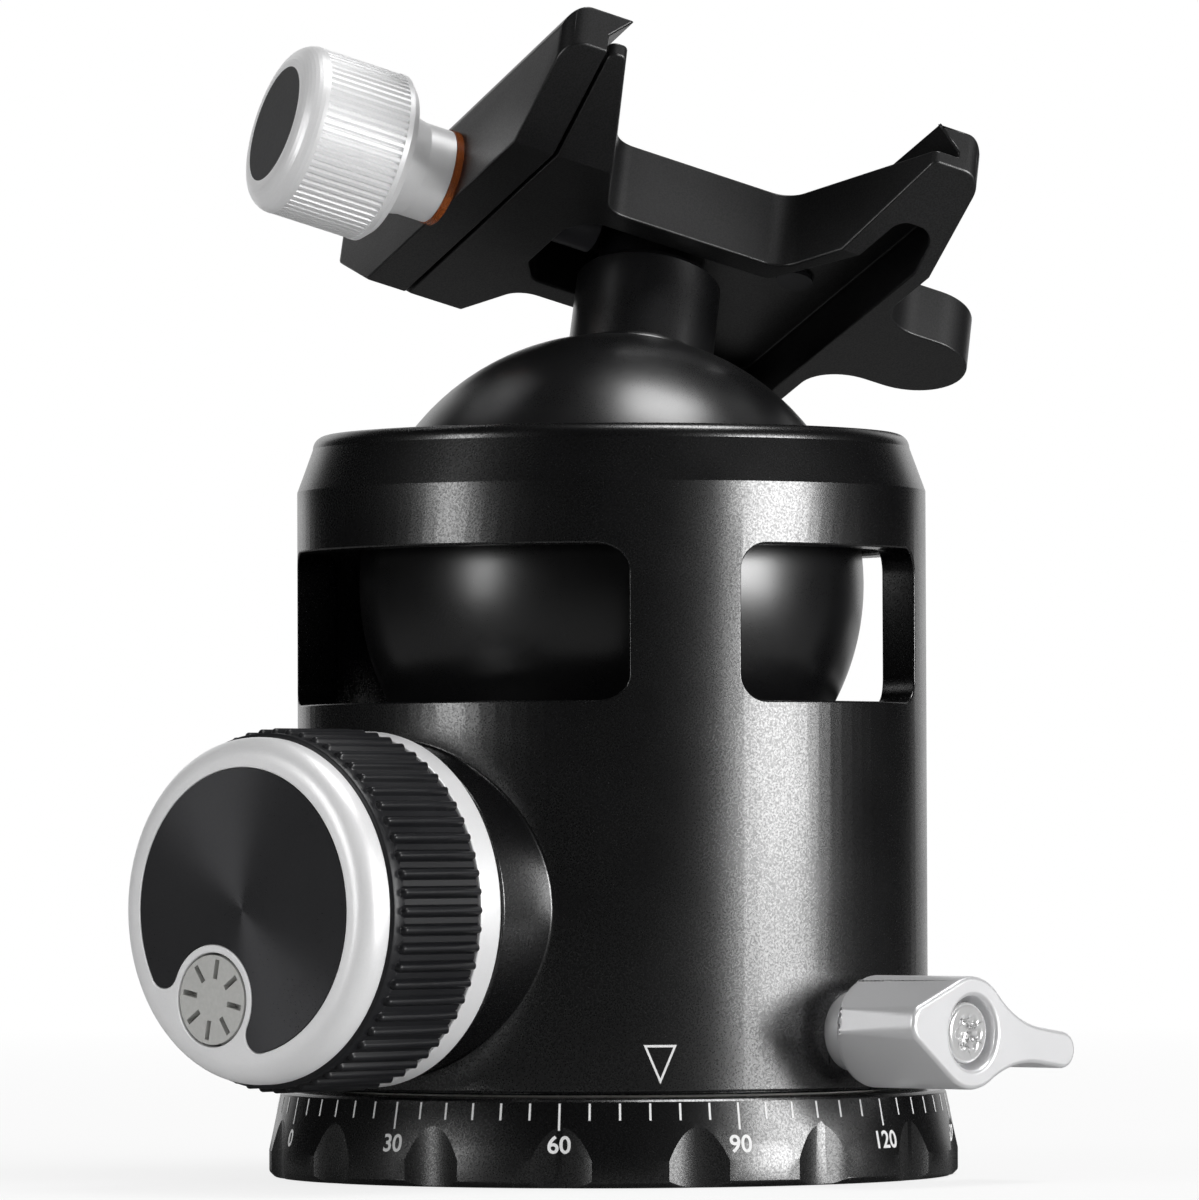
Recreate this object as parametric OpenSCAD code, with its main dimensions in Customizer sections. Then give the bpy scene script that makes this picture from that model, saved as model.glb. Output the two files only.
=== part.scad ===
// Tripod ball head: panning foot, windowed barrel, ball with neck, screw clamp for dovetail plates.
// Z is up and the origin is the centre of the foot's lower face. The main knob points along -Y,
// the pan lock along +X. The ball leans back, and the clamp sits on its neck at that lean.

/* [Foot] */
// How far the scale disc's top edge stands out past the barrel
foot_ledge = 1.7; // [1.2:0.1:2.5]
// How far the scale disc flares out from its top edge to its lower band
foot_flare = 1.1; // [0.6:0.1:2]
// Height of the scale disc
foot_h = 8.1; // [7.5:0.1:9]
// Height of the straight lower band
foot_band_h = 2.5; // [1.5:0.1:3.5]
// Number of finger scallops round the foot
scallop_count = 16; // [8:1:20]
// Radius of the cutter that makes a scallop
scallop_r = 8.4; // [5:0.1:9]
// Height at which a scallop runs out
scallop_top_z = 5.7; // [4:0.1:6.5]
// Turn of the first scallop about the foot
scallop_turn = -56.6; // [-90:0.1:90]
// Wall of the flange ring between the post and the barrel
collar_wall = 5.7; // [5:0.1:7]
// Depth of the pan lock's groove in the post
groove_depth = 1.6; // [1:0.1:2]
// Wall radius of the 3/8 inch tripod thread
tripod_thread_r = 4.0; // [3.9:0.05:4.3]
// Depth of the tripod thread
tripod_thread_depth = 12; // [8:0.5:13]
// Thickness of the slip washer under the head
slip_t = 0.3; // [0.2:0.05:0.5]

/* [Barrel] */
// Wall of the seat rings between the ball and the barrel
race_wall = 2.3; // [2:0.1:3]
// Wall thickness of the barrel
barrel_wall = 3.6; // [3:0.1:4]
// Height of the barrel's top edge over the ball's centre
rim_rise = 14.2; // [13:0.1:16]
// Height of the taper that ends in the rim
rim_taper_h = 5.4; // [4:0.1:8]
// How far the barrel tapers in at the rim
rim_taper = 1.5; // [1:0.1:2.5]
// How far the rim's opening is smaller than the ball's radius
rim_hold = 3.1; // [2.6:0.1:3.3]
// Width of the front and rear windows
wide_window_w = 42.2; // [30:0.1:44]
// Width of the window over the pan lock
side_window_w = 24.7; // [16:0.1:30]
// Distance of the windows' lower edge below the ball's centre
window_drop = 11.4; // [9:0.1:11.8]
// Height of the windows
window_h = 14.4; // [10:0.1:14.8]
// Corner radius of the windows
window_corner_r = 2.4; // [1:0.1:4]
// Cover of the flange ring over the pan lock's shoe
collar_cover = 0.4; // [0.3:0.1:1]

/* [Ball] */
// Radius of the ball
ball_r = 24; // [23.6:0.1:24.2]
// Height of the ball's centre over the barrel's foot
ball_rise = 47.6; // [46:0.1:50]
// Radius of the ball's neck
neck_r = 7; // [6:0.1:7.1]
// Length of the neck from the ball to its shoulder
neck_len = 9; // [8:0.1:12]
// Lean of the neck from the vertical
lean = 25; // [0:1:36]
// Compass direction of the lean, from +X
lean_turn = 116.2; // [0:0.1:360]
// Turn of the clamp about the neck
clamp_turn = -50; // [-180:1:180]
// Gap between the ball and its seats
seat_gap = 0.2; // [0.1:0.05:0.3]

/* [Main knob] */
// Height of the boss's lower side over the barrel's foot
boss_lift = 1.55; // [1.5:0.05:3]
// Radius of the boss behind the knob
boss_r = 15.5; // [13:0.1:15.6]
// How far the boss stands out past the barrel
boss_rise = 2.75; // [2:0.05:4]
// Radius of the knob's rear flange
knob_rear_r = 16.4; // [15.8:0.1:16.6]
// Radius of the knob's front ring
knob_front_r = 15.8; // [15.2:0.1:16.4]
// Thickness of the knob's rear flange
knob_rear_t = 3.1; // [2:0.1:3.6]
// Length of the rubber grip
grip_len = 11.3; // [9:0.1:14]
// Radius over the grip's ribs
grip_r = 16.65; // [16.5:0.05:17.4]
// Number of ribs round the grip
grip_ribs = 60; // [40:1:72]
// Thickness of the knob's front ring
knob_front_t = 2.95; // [2.2:0.05:3.6]
// Radius of the dark disc in the knob's face
face_r = 13; // [12.4:0.1:13.6]
// Thickness of the dark disc
face_t = 0.5; // [0.4:0.1:0.8]
// Radius of the friction wheel
wheel_r = 4.1; // [3.8:0.1:4.3]
// Distance of the friction wheel from the knob's axis
wheel_offset = 8.95; // [8.7:0.05:9.2]
// Direction of the friction wheel in the knob's face
wheel_turn = -115.5; // [-180:0.1:0]
// Radius of the main spindle
spindle_r = 4.8; // [4.2:0.1:5]

/* [Pan lock] */
// Height of the lever's lower side over the barrel's foot
lever_lift = 0.4; // [0.3:0.1:1]
// Gap between the barrel and the lever
lever_stand = 2; // [1.5:0.1:4]
// Thickness of the lever
lever_t = 12.5; // [10:0.1:14]
// Radius of the lever's hub
lever_hub_r = 5.2; // [4.8:0.1:5.3]
// Length of the lever's tail
lever_tail = 15; // [12:0.1:16]
// Thickness of the lever's tail
lever_tail_t = 3.4; // [2.6:0.1:4]
// Reach of the lever's blunt end
lever_heel = 8.6; // [7:0.1:9]
// Turn of the lever's tail below the level
lever_turn = -7.9; // [-30:0.1:30]
// Radius of the screw hole in the lever's face
lever_hole_r = 3.4; // [3.1:0.1:3.8]

/* [Clamp] */
// Length of the jaws
jaw_len = 54.4; // [50:0.1:58]
// Thickness of the clamp's platform
deck_t = 7.85; // [7.4:0.05:9]
// Depth of the dovetail groove
dovetail_depth = 2.85; // [2.6:0.05:3.2]
// Distance of the parting face from the neck's axis
split_x = 18.05; // [17:0.05:19]
// Gap between the movable jaw and the clamp body
split_gap = 0.3; // [0.2:0.05:0.5]
// Thickness of the movable jaw
jaw_t = 4.25; // [3.8:0.05:6]
// Distance of the fixed jaw's outer side from the neck's axis
fixed_side_x = 21.8; // [21.4:0.1:24]
// Distance of the fixed jaw's groove from the neck's axis
fixed_groove_x = 18.8; // [18.4:0.1:19.4]
// Depth of the underside's pocket
pocket_depth = 5.35; // [4:0.05:5.8]
// Half length of the clamp's waist
waist_y = 10; // [9.6:0.1:11.5]
// Half width of the waist's flat end
waist_x = 9.3; // [8:0.1:10]
// Half width between the arms' tips
arm_tip_x = 16.4; // [15:0.1:17]
// Half length of the flat part of the underside
flat_y = 17.1; // [16:0.1:20]
// Thickness of the jaws' tips
tip_t = 4.15; // [3.8:0.05:5]
// Radius of the rounded corners of the jaws
jaw_corner_r = 2.2; // [1:0.1:2.8]

/* [Level] */
// Distance of the level's centre from the neck's axis
ear_x = 28.4; // [27.5:0.1:32]
// Radius of the ear that holds the level
ear_r = 5.7; // [5.3:0.1:6.5]
// Thickness of the ear
ear_t = 5.75; // [5.2:0.05:6.5]
// Radius of the hollow where the ear meets the clamp
ear_fillet_r = 4.6; // [2:0.1:6]
// Radius of the level's vial
vial_r = 4.2; // [3.5:0.1:4.4]

/* [Clamp knob] */
// Height of the clamp screw's axis over the clamp's underside
screw_rise = 3.6; // [3.3:0.05:4.2]
// Radius of the clamp screw
screw_r = 2.5; // [2:0.1:2.6]
// Radius of the clamp knob
clamp_knob_r = 8.3; // [7:0.1:9]
// Length of the clamp knob's fluted drum
clamp_knob_len = 11.8; // [9:0.1:14]
// Length of the clamp knob's polished neck
clamp_neck_len = 5.3; // [4:0.1:7]
// Number of flutes round the clamp knob
flute_count = 72; // [48:1:90]
// Thickness of the amber washer
washer_t = 0.7; // [0.4:0.1:1]

/* [Hidden] */
$fn = 96;
over = 1;                                   // how far a cutter runs past what it cuts
turn_fit = 0.08;                            // radial clearance of a turning fit
screw_fit = 0.05;                           // radial clearance of a screw in its bore
loose_gap = 0.2;                            // gap between pieces that pass each other
seat_fit = 0.05;                            // gap under a piece that rests on a shoulder
edge_cut = 0.5;                             // chamfer on turned edges
key_depth = 1.2;                            // depth of a six-sided key socket

// radii and heights that the ball sets
barrel_bore_r = ball_r + race_wall;
barrel_r = barrel_bore_r + barrel_wall;
post_r = barrel_bore_r - collar_wall;
foot_top_r = barrel_r + foot_ledge;
foot_r = foot_top_r + foot_flare;
barrel_z0 = foot_h + slip_t;
lever_z = barrel_z0 + lever_lift + lever_hub_r;
knob_z = barrel_z0 + boss_lift + boss_r;
ball_z = barrel_z0 + ball_rise;
window_z = ball_z - window_drop;
barrel_top_z = ball_z + rim_rise;

// foot and pan bearing
lever_spindle_r = 3;
collar_top_z = lever_z + lever_spindle_r + collar_cover;
upper_slip_t = 0.4;
slip_edge = 0.7;
slip_r = barrel_bore_r - slip_edge;
post_top_z = collar_top_z + upper_slip_t;
post_ring_t = 2;
post_ring_lap = 2;
post_ring_r = post_r + post_ring_lap;
collar_bore_r = post_r + turn_fit;
scallop_floor_r = foot_r - (foot_r - foot_top_r) * (scallop_top_z - foot_band_h) / (foot_h - foot_band_h);
groove_half_h = groove_depth * 1.375;
bush_wall = 3.5;
bush_flange_lap = 1.8;
bush_r = tripod_thread_r + bush_wall;
bush_flange_r = bush_r + bush_flange_lap;
post_ring_room = 0.9;
post_ring_bore_r = bush_flange_r + post_ring_room;
bush_flange_t = 1.6;
bush_flange_z = post_top_z - bush_flange_t - edge_cut;
base_screw_r = 2;
base_screw_head_r = 3.8;
base_screw_wall = 2.2;
base_screw_pcd_r = bush_r + base_screw_wall + base_screw_head_r;
base_screw_sink = 0.3;
base_key_r = 1.7;
base_screw_bite = 4;
base_screw_top_z = foot_h + base_screw_bite;
ring_screw_r = 1.5;
ring_screw_head_r = 2.8;
ring_screw_inset = 5.1;
ring_screw_pcd_r = post_r - ring_screw_inset;
ring_screw_len = 7;
ring_key_r = 1.1;

// barrel and what it holds
rim_taper_z = barrel_top_z - rim_taper_h;
rim_r = barrel_r - rim_taper;
rim_bore_r = ball_r - rim_hold;
rim_round_r = 1.3;
lip_h = 3.3;
lip_z = barrel_top_z - lip_h;
lip_edge = 0.6;
lip_gap = 0.35;
lip_low_r = sqrt(ball_r * ball_r - pow(lip_z - ball_z, 2)) + lip_gap;
spindle_bush_wall = 2;
spindle_bush_r = spindle_r + spindle_bush_wall;
piston_r = barrel_bore_r - loose_gap;
piston_z = post_top_z + post_ring_t + loose_gap;
race_inset = 1;
lower_race_h = 5.6;
lower_race_top_z = window_z - race_inset;
lower_race_z = lower_race_top_z - lower_race_h;
upper_race_z = window_z + window_h + race_inset;
race_fit = 0.3;
race_r = barrel_bore_r - race_fit;
race_seat_r = ball_r + seat_gap;
piston_gap = 0.6;
piston_seat_r = ball_r + piston_gap;
tip_start = 14;
tip_end = 8;
tip_r = 1.5;
tip_len = tip_start - tip_end;
spring_wire_r = 0.55;
spring_inset = 1.7;
spring_r = barrel_bore_r - spring_inset;

// main knob, distances from the barrel's axis along -Y
boss_end = barrel_r + boss_rise;
knob_washer_t = 0.3;
knob_washer_edge = 1.1;
knob_washer_r = boss_r - knob_washer_edge;
knob_rear = boss_end + knob_washer_t + seat_fit;
grip_rear = knob_rear + knob_rear_t;
grip_front = grip_rear + grip_len;
knob_front = grip_front + knob_front_t;
grip_wall = 2.6;
knob_drum_r = grip_r - grip_wall;
grip_rib_depth = 0.5;
knob_shoulder_r = 2;
face_corner_r = 1.6;
bezel_t = 0.8;
wheel_t = 2.8;
wheel_pocket_r = wheel_r + loose_gap;
wheel_x = wheel_offset * cos(wheel_turn);
wheel_y = wheel_offset * sin(wheel_turn);
wheel_hub_r = 1.95;
wheel_slots = 8;
wheel_slot_first = 34;
wheel_slot_len = 1.75;
wheel_slot_w = 0.5;
wheel_slot_depth = 1.2;
friction_rod_r = 1.3;
knob_screw_r = 2;
knob_screw_head_r = 3.6;
knob_screw_head_t = 2;
knob_screw_len = 8;
knob_key_r = 1.7;
spindle_cover = 1;
spindle_front = grip_front - spindle_cover;

// pan lock, distances from the barrel's axis along +X
lever_back = barrel_r + lever_stand;
lever_face = lever_back + lever_t;
lever_collar_wall = 0.7;
lever_collar_r = lever_spindle_r + lever_collar_wall;
lever_collar_sink = 1.3;
lever_collar_seat = barrel_r - lever_collar_sink;
lever_spindle_start = 1.1;
lever_spindle_in = barrel_bore_r + lever_spindle_start;
lever_relief = 3.5;
lever_flank_r = 11;
lever_heel_half = 1.2;
lever_hole_depth = 2.9;
lever_web_t = 1.5;
lever_web_front = lever_face - lever_hole_depth;
lever_web_back = lever_web_front - lever_web_t;
lever_screw_r = 1.8;
lever_head_gap = 0.57;
lever_head_r = lever_hole_r - lever_head_gap;
lever_head_sink = 0.6;
lever_head_top = lever_face - lever_head_sink;
shoe_fit = 0.1;
shoe_r = lever_spindle_r - shoe_fit;
shoe_slope = groove_depth / groove_half_h;
shoe_tip_r = 0.5;
shoe_tip = post_r - groove_depth + 0.55;
shoe_cone_r = 2.5;
shoe_cone = shoe_tip + (shoe_cone_r - shoe_tip_r) * shoe_slope;
lobe_count = 6;
lobe_ring_r = 1.2;
lobe_r = 0.37;

// clamp, in its own axes: X across the groove, Y along it, Z along the neck
neck_top = ball_r + neck_len;
under_n = neck_top + seat_fit;
screw_n = under_n + screw_rise;
deck_n = under_n + deck_t;
top_n = deck_n + dovetail_depth;
groove_root = 0.45;
groove_n = deck_n + groove_root;
pocket_n = under_n + pocket_depth;
jaw_face_x = -split_x - split_gap;
jaw_side_x = jaw_face_x - jaw_t;
hook_run = top_n - groove_n;
jaw_half = jaw_len / 2;
tip_under_n = top_n - tip_t;
waist_round_r = 2.8;
arm_round_r = 0.8;
pocket_wall = 2.9;
pocket_side_wall = 1.7;
pocket_left_x = -11.1;
pocket_left_half = 4.2;
pocket_round_r = 1.8;
pocket_mouth_y = waist_y - pocket_wall;
pocket_nose_len = 4;
pocket_nose_y = flat_y + pocket_nose_len;
pocket_nose_w = 3.8;
bolt_r = 3;
bolt_head_r = 5.4;
bolt_head_t = 2;
bolt_cover = 2;
bolt_end_n = ball_r + bolt_cover;
bolt_key_r = 2.1;
stem_boss_r = 5.2;
neck_fillet_r = 1.2;
neck_edge = 0.7;
pin_r = 1.3;
pin_y = 9;
pin_cover = 1;
pin_end_x = -10.2;
screw_clear = 1.4;
screw_end_x = -stem_boss_r - screw_clear;
spring_bore_r = 1.9;
spring_y = 13.3;
spring_end_x = -12.6;
jaw_wire_r = 0.3;
jaw_coil_fit = 0.15;
jaw_coil_r = spring_bore_r - jaw_wire_r - jaw_coil_fit;
stop_x = 15.2;
stop_r = 1.45;
stop_nut_r = 1.8;
stop_nut_t = 0.5;
vial_t = 4;
vial_sink = 0.3;
vial_n = under_n + ear_t - vial_sink - vial_t;
backing_t = 0.4;

// clamp knob, along the clamp's X
washer_r = 4.7;
neck_end_x = jaw_side_x - washer_t - seat_fit;
drum_back_x = neck_end_x - clamp_neck_len;
drum_front_x = drum_back_x - clamp_knob_len;
flute_depth = 0.3;
flute_sink = 0.04;                          // how far the ribs lie under the drum's turned ends
clamp_neck_r = 4.6;
neck_flare = 0.6;
screw_cover = 3;
cap_rim = 2.6;
cap_r = clamp_knob_r - cap_rim;
cap_t = 1;
drum_round_r = 2.2;
drum_edge = 0.8;

module along_knob() { translate([0, 0, knob_z]) rotate([90, 0, 0]) children(); }
module along_lever() { translate([0, 0, lever_z]) rotate([90, 0, 90]) children(); }
module on_neck() {
    translate([0, 0, ball_z]) rotate([0, 0, lean_turn]) rotate([0, lean, 0]) rotate([0, 0, clamp_turn])
        children();
}
module along_screw() { translate([0, 0, screw_n]) rotate([0, -90, 0]) children(); }

module tube(r_out, r_in, z0, z1) {
    translate([0, 0, z0]) difference() {
        cylinder(r = r_out, h = z1 - z0);
        translate([0, 0, -over]) cylinder(r = r_in, h = z1 - z0 + 2 * over);
    }
}
module rod(r, z0, z1) { translate([0, 0, z0]) cylinder(r = r, h = z1 - z0); }
module ring_of(count, r, turn = 0) {
    for (i = [0:count - 1]) rotate([0, 0, turn + i * 360 / count]) translate([r, 0, 0]) children();
}
// Six-sided key socket sunk from the top of a screw's head
module key_socket(r, top, depth) {
    translate([0, 0, top - depth]) cylinder(r = r, h = depth + over, $fn = 6);
}
// Quarter round of radius k that ends a turned outline at radius r and height z
function quarter(r, z, k) = [for (a = [0:10:90]) [r - k * (1 - cos(a)), z - k * (1 - sin(a))]];
module round_rect(w, h, r) {
    square([w - 2 * r, h], center = true);
    square([w, h - 2 * r], center = true);
    for (x = [-1, 1], y = [-1, 1]) translate([x * (w / 2 - r), y * (h / 2 - r)]) circle(r = r);
}
module ribbed(r, depth, count) {
    step = 360 / count;
    polygon([for (i = [0:count - 1], s = [[0.04, -depth], [0.3, 0], [0.7, 0], [0.96, -depth]])
        (r + s[1]) * [cos((i + s[0]) * step), sin((i + s[0]) * step)]]);
}

// Coil swept along a helix with flat-cut ends; z runs from z0 to z1 at the wire's centre.
function coil_ring(r, wire, a, z, sides) =
    [for (s = [0:sides - 1]) [(r + wire * cos(s * 360 / sides)) * cos(a),
        (r + wire * cos(s * 360 / sides)) * sin(a), z + wire * sin(s * 360 / sides)]];
module coil(r, wire, z0, z1, turns, per_turn, sides = 8) {
    steps = turns * per_turn;
    rise = (z1 - z0) / steps;
    pts = [for (i = [0:steps]) each coil_ring(r, wire, i * 360 / per_turn, z0 + rise * i, sides)];
    walls = [for (i = [0:sides:(steps - 1) * sides], s = [0:sides - 1], next = [(s + 1) % sides])
        [i + s, i + next, i + sides + next, i + sides + s]];
    first_cap = [for (s = [sides - 1:-1:0]) s];
    last_cap = [for (s = [0:sides - 1]) steps * sides + s];
    polyhedron(points = pts, faces = concat([first_cap], walls, [last_cap]), convexity = 6);
}

// ---- foot ----
module base_screw_shape(grow = 0) {
    head_h = base_screw_head_r - base_screw_r;
    rod(base_screw_r + grow, base_screw_sink, base_screw_top_z + grow);
    translate([0, 0, base_screw_sink - grow])
        cylinder(r1 = base_screw_head_r + grow, r2 = base_screw_r, h = head_h + grow);
}
module pan_base() {
    color("#1c1c1e") difference() {
        rotate_extrude() polygon([[bush_r, 0], [foot_r - edge_cut, 0], [foot_r, edge_cut],
            [foot_r, foot_band_h], [foot_top_r, foot_h - edge_cut / 2], [foot_top_r - edge_cut / 2, foot_h],
            [bush_r, foot_h]]);
        ring_of(scallop_count, scallop_floor_r + scallop_r, scallop_turn)
            translate([0, 0, -over]) cylinder(r = scallop_r, h = foot_h + 2 * over);
        ring_of(3, base_screw_pcd_r) {
            base_screw_shape(screw_fit);
            rod(base_screw_head_r + screw_fit, -over, base_screw_sink);
        }
    }
}
module pan_post() {
    color("#8d9095") difference() {
        rotate_extrude() polygon([[bush_r, foot_h], [post_r, foot_h], [post_r, lever_z - groove_half_h],
            [post_r - groove_depth, lever_z], [post_r, lever_z + groove_half_h], [post_r, post_top_z],
            [bush_flange_r, post_top_z], [bush_flange_r, bush_flange_z], [bush_r, bush_flange_z]]);
        ring_of(3, base_screw_pcd_r) base_screw_shape(screw_fit);
        ring_of(4, ring_screw_pcd_r, 45)
            rod(ring_screw_r + screw_fit, post_top_z + post_ring_t - ring_screw_len, post_top_z + over);
    }
}
module tripod_bush() {
    color("#b9bcc0") difference() {
        union() {
            rod(bush_r, 0, bush_flange_z);
            rod(bush_flange_r, bush_flange_z, bush_flange_z + bush_flange_t);
        }
        rod(tripod_thread_r, -over, tripod_thread_depth);
    }
}
module base_screws() {
    color("#3a3a3d") ring_of(3, base_screw_pcd_r) difference() {
        base_screw_shape();
        translate([0, 0, 2 * base_screw_sink]) mirror([0, 0, 1])
            key_socket(base_key_r, base_screw_sink, key_depth);
    }
}
module lower_slip_washer() { color("#e8e6df") tube(slip_r, post_r + loose_gap, foot_h, barrel_z0); }
module upper_slip_washer() {
    color("#e8e6df") tube(post_ring_r - loose_gap, post_r + loose_gap, collar_top_z, post_top_z);
}
module ring_screw_shape(grow = 0) {
    top = post_top_z + post_ring_t;
    head_h = ring_screw_head_r - ring_screw_r;
    rod(ring_screw_r + grow, top - ring_screw_len, top);
    translate([0, 0, top - head_h])
        cylinder(r1 = ring_screw_r + grow, r2 = ring_screw_head_r + grow, h = head_h);
}
module retaining_ring() {
    color("#9da0a4") difference() {
        tube(post_ring_r, post_ring_bore_r, post_top_z, post_top_z + post_ring_t);
        ring_of(4, ring_screw_pcd_r, 45) ring_screw_shape(screw_fit);
    }
}
module retaining_screws() {
    color("#3a3a3d") ring_of(4, ring_screw_pcd_r, 45) difference() {
        ring_screw_shape();
        key_socket(ring_key_r, post_top_z + post_ring_t, key_depth);
    }
}

// ---- barrel ----
module window_cut(w, from_y, to_y) {
    translate([0, -from_y, window_z + window_h / 2]) rotate([90, 0, 0])
        linear_extrude(height = to_y - from_y) round_rect(w, window_h, window_corner_r);
}
module housing() {
    color("#1c1c1e") difference() {
        union() {
            rotate_extrude() polygon([[0, barrel_z0], [barrel_r - edge_cut / 2, barrel_z0],
                [barrel_r, barrel_z0 + edge_cut / 2], [barrel_r, rim_taper_z],
                each quarter(rim_r, barrel_top_z, rim_round_r), [0, barrel_top_z]]);
            along_knob() rod(boss_r - edge_cut, barrel_r / 2, boss_end);
            along_knob() rod(boss_r, barrel_r / 2, boss_end - edge_cut);
        }
        rod(barrel_bore_r, barrel_z0 - over, lip_z);
        rotate_extrude() polygon([[0, lip_z - over], [lip_low_r, lip_z - over], [lip_low_r, lip_z],
            [rim_bore_r, barrel_top_z - lip_edge], [rim_bore_r + lip_edge + over, barrel_top_z + over],
            [0, barrel_top_z + over]]);
        window_cut(wide_window_w, -barrel_r - over, barrel_r + over);
        rotate([0, 0, 90]) window_cut(side_window_w, 0, barrel_r + over);
        along_knob() rod(spindle_bush_r, barrel_r / 2, boss_end + over);
        along_lever() rod(lever_spindle_r + screw_fit, barrel_r / 2, barrel_r + over);
        along_lever() rod(lever_collar_r, lever_collar_seat, barrel_r + over);
    }
}
module bearing_collar() {
    color("#7f8286") difference() {
        tube(barrel_bore_r, collar_bore_r, barrel_z0, collar_top_z);
        along_lever() rod(shoe_r + loose_gap, post_r / 2, barrel_r);
    }
}
module spindle_bush() {
    color("#b08d3e") along_knob()
        tube(spindle_bush_r, spindle_r + turn_fit, barrel_bore_r, boss_end);
}
module pressure_piston() {
    color("#8d9095") difference() {
        rod(piston_r, piston_z, lower_race_z);
        translate([0, 0, ball_z]) sphere(r = piston_seat_r);
        along_knob() {
            rod(spindle_r + loose_gap, tip_start, barrel_r);
            translate([0, 0, tip_end - loose_gap])
                cylinder(r1 = tip_r + loose_gap, r2 = spindle_r + loose_gap, h = tip_len + loose_gap);
        }
    }
}
module lift_spring() {
    color("#c9ccd0")
        coil(spring_r, spring_wire_r, collar_top_z + spring_wire_r, piston_z - spring_wire_r, 2, 24);
}
module pan_shoe() {
    color("#b08d3e") along_lever() {
        translate([0, 0, shoe_tip]) cylinder(r1 = shoe_tip_r, r2 = shoe_cone_r, h = shoe_cone - shoe_tip);
        rod(shoe_r, shoe_cone, lever_spindle_in - loose_gap / 2);
    }
}
module lever_collar() {
    color("#d6d8da") along_lever()
        tube(lever_collar_r, lever_spindle_r + screw_fit, lever_collar_seat, lever_back - loose_gap);
}
module knob_washer() {
    color("#e8e6df") along_knob()
        tube(knob_washer_r, spindle_r + loose_gap, boss_end, boss_end + knob_washer_t);
}

// ---- ball ----
module race(z0, z1) {
    difference() {
        rod(race_r, z0, z1);
        translate([0, 0, ball_z]) sphere(r = race_seat_r);
    }
}
module upper_race() { color("#e8e6df") race(upper_race_z, lip_z); }
module lower_race() { color("#e8e6df") race(lower_race_z, lower_race_top_z); }
module ball_stem() {
    fillet_x = neck_r + neck_fillet_r;
    fillet_n = sqrt(ball_r * ball_r - fillet_x * fillet_x);
    color("#202022") on_neck() difference() {
        union() {
            sphere(r = ball_r);
            rod(neck_r, 0, neck_top - neck_edge);
            translate([0, 0, neck_top - neck_edge])
                cylinder(r1 = neck_r, r2 = neck_r - neck_edge, h = neck_edge);
            rod(stem_boss_r, neck_top - over, pocket_n);
            rotate_extrude() difference() {
                translate([0, fillet_n - over]) square([fillet_x, over + neck_fillet_r]);
                translate([fillet_x, fillet_n + neck_fillet_r]) circle(r = neck_fillet_r);
            }
        }
        rod(bolt_r + screw_fit, bolt_end_n - over, pocket_n + over);
    }
}

// ---- clamp ----
// Plan of the fixed half, seen along the neck
module clamp_plan() {
    offset(r = -waist_round_r) offset(delta = waist_round_r)
        offset(r = arm_round_r) offset(delta = -arm_round_r)
            polygon([for (s = [-1, 1]) each [for (p = s < 0 ?
                [[-split_x, -jaw_half], [-arm_tip_x, -jaw_half], [-waist_x, -waist_y], [waist_x, -waist_y],
                    [arm_tip_x, -jaw_half], [fixed_side_x, -jaw_half]] :
                [[fixed_side_x, jaw_half], [arm_tip_x, jaw_half], [waist_x, waist_y], [-waist_x, waist_y],
                    [-arm_tip_x, jaw_half], [-split_x, jaw_half]]) p]]);
}
// Section of a jaw: x runs out from the groove's root, and the hook leans back over the groove
module jaw_section(thick, low_n) {
    corner = [thick - jaw_corner_r, top_n - jaw_corner_r];
    polygon([[0, low_n], [0, groove_n], [-hook_run, top_n],
        for (a = [90:-10:0]) corner + jaw_corner_r * [cos(a), sin(a)], [thick, low_n]]);
}
module along_groove() {
    translate([0, jaw_half, 0]) rotate([90, 0, 0]) linear_extrude(height = jaw_len) children();
}
// What the sloped undersides take off both ends
module end_slopes() {
    reach = fixed_side_x * 2;
    run = jaw_half - flat_y;
    rise = tip_under_n - under_n;
    for (s = [0, 1]) mirror([0, s, 0]) translate([-reach, 0, 0]) rotate([90, 0, 90])
        linear_extrude(height = 2 * reach) polygon([[flat_y, under_n],
            [flat_y + 2 * run, under_n + 2 * rise], [flat_y + 2 * run, under_n - over],
            [flat_y, under_n - over]]);
}
// Outer corners of both jaws seen along the neck, rounded
module jaw_corners(x_in, x_out) {
    mid = (x_in + x_out) / 2;
    translate([0, 0, under_n - over]) linear_extrude(height = top_n - under_n + 2 * over) union() {
        translate([(x_in + x_out) / 2, 0]) round_rect(abs(x_out - x_in), jaw_len, jaw_corner_r);
        translate([(x_in + mid) / 2, 0]) square([abs(mid - x_in), jaw_len], center = true);
    }
}
module pocket_plan() {
    right = fixed_side_x - pocket_side_wall;
    nose_x = right - pocket_nose_w;
    mouth_y = pocket_mouth_y;
    offset(r = pocket_round_r) offset(delta = -pocket_round_r)
        polygon([[pocket_left_x, -pocket_left_half], [-waist_x, -mouth_y], [waist_x, -mouth_y],
            [nose_x, -pocket_nose_y], [right, -pocket_nose_y], [right, pocket_nose_y],
            [nose_x, pocket_nose_y], [waist_x, mouth_y], [-waist_x, mouth_y],
            [pocket_left_x, pocket_left_half]]);
}
module ear_plan() {
    circle_x = fixed_side_x + ear_fillet_r;
    circle_y = ear_r + ear_fillet_r;
    translate([ear_x, 0]) circle(r = ear_r);
    translate([fixed_side_x - over, -ear_r]) square([ear_x - fixed_side_x + over, 2 * ear_r]);
    for (s = [-1, 1]) scale([1, s]) difference() {
        translate([fixed_side_x - over, ear_r - over]) square([ear_fillet_r + over, ear_fillet_r + over]);
        translate([circle_x, circle_y]) circle(r = ear_fillet_r);
    }
}
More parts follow.
